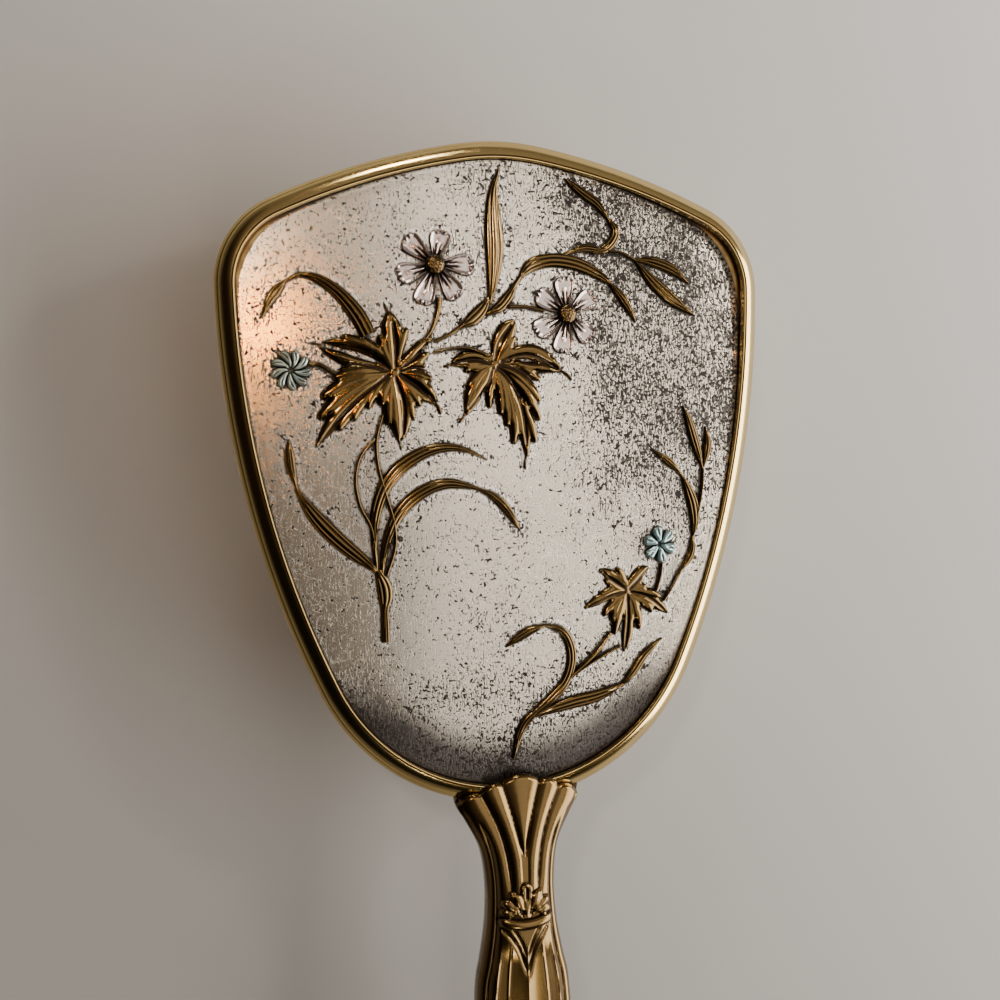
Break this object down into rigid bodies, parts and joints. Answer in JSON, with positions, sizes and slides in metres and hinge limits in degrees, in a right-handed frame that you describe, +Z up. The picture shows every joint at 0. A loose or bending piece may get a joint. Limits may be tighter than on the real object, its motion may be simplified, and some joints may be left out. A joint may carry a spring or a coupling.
{
  "type": "vanity hairbrush",
  "caption": "Shield-shaped vanity hairbrush: domed silvered back in a gilt rim with applied gilt leaves and flowers, tufted bristle block underneath, slim fluted gilt handle.",
  "frame": {"origin": "on the plane the bristle tips rest on, under the middle of the brush's overall length and width", "axes": "+Y from the handle towards the head, +X to the right seen from the ornamented back with the head up, +Z up out of the ornamented back"},
  "size_m": [0.095, 0.23, 0.0305],
  "materials": {
    "silver_plate": "brushed old silver plate with dark specks",
    "gilt": "polished aged gilt",
    "gilt_leaf": "polished gilt with dark bronze hollows",
    "silver_petal": "bright silver plate, faintly pink",
    "enamel": "glossy blue-green enamel",
    "block": "ivory, satin",
    "bristle": "pale nylon",
    "steel": "plain",
    "wood": "plain",
    "pitch": "matt setting pitch"
  },
  "bodies": {
    "root": {"back_plate": "silver_plate", "blade_upper_left": "gilt_leaf", "border_tufts": "bristle", "branch_lower_left": "gilt_leaf", "branch_small": "gilt_leaf", "branch_small_right": "gilt_leaf", "branch_upper_right": "gilt_leaf", "bristle_block": "block", "enamel_flower_left": "enamel", "enamel_flower_right": "enamel", "field_tufts": "bristle", "flower_bosses": "gilt_leaf", "handle_back_shell": "gilt", "handle_filler": "pitch", "handle_front_shell": "gilt", "head_core": "wood", "leaf_large": "gilt_leaf", "leaf_middle": "gilt_leaf", "leaf_small": "gilt_leaf", "rim": "gilt", "silver_flower_left": "silver_petal", "silver_flower_right": "silver_petal", "stem_left_enamel": "gilt_leaf", "stem_left_flower": "gilt_leaf", "stem_middle_leaf": "gilt_leaf", "stem_right_enamel": "gilt_leaf", "tang": "steel", "tang_screws": "steel", "tuft_anchors": "steel"}
  },
  "joints": []
}
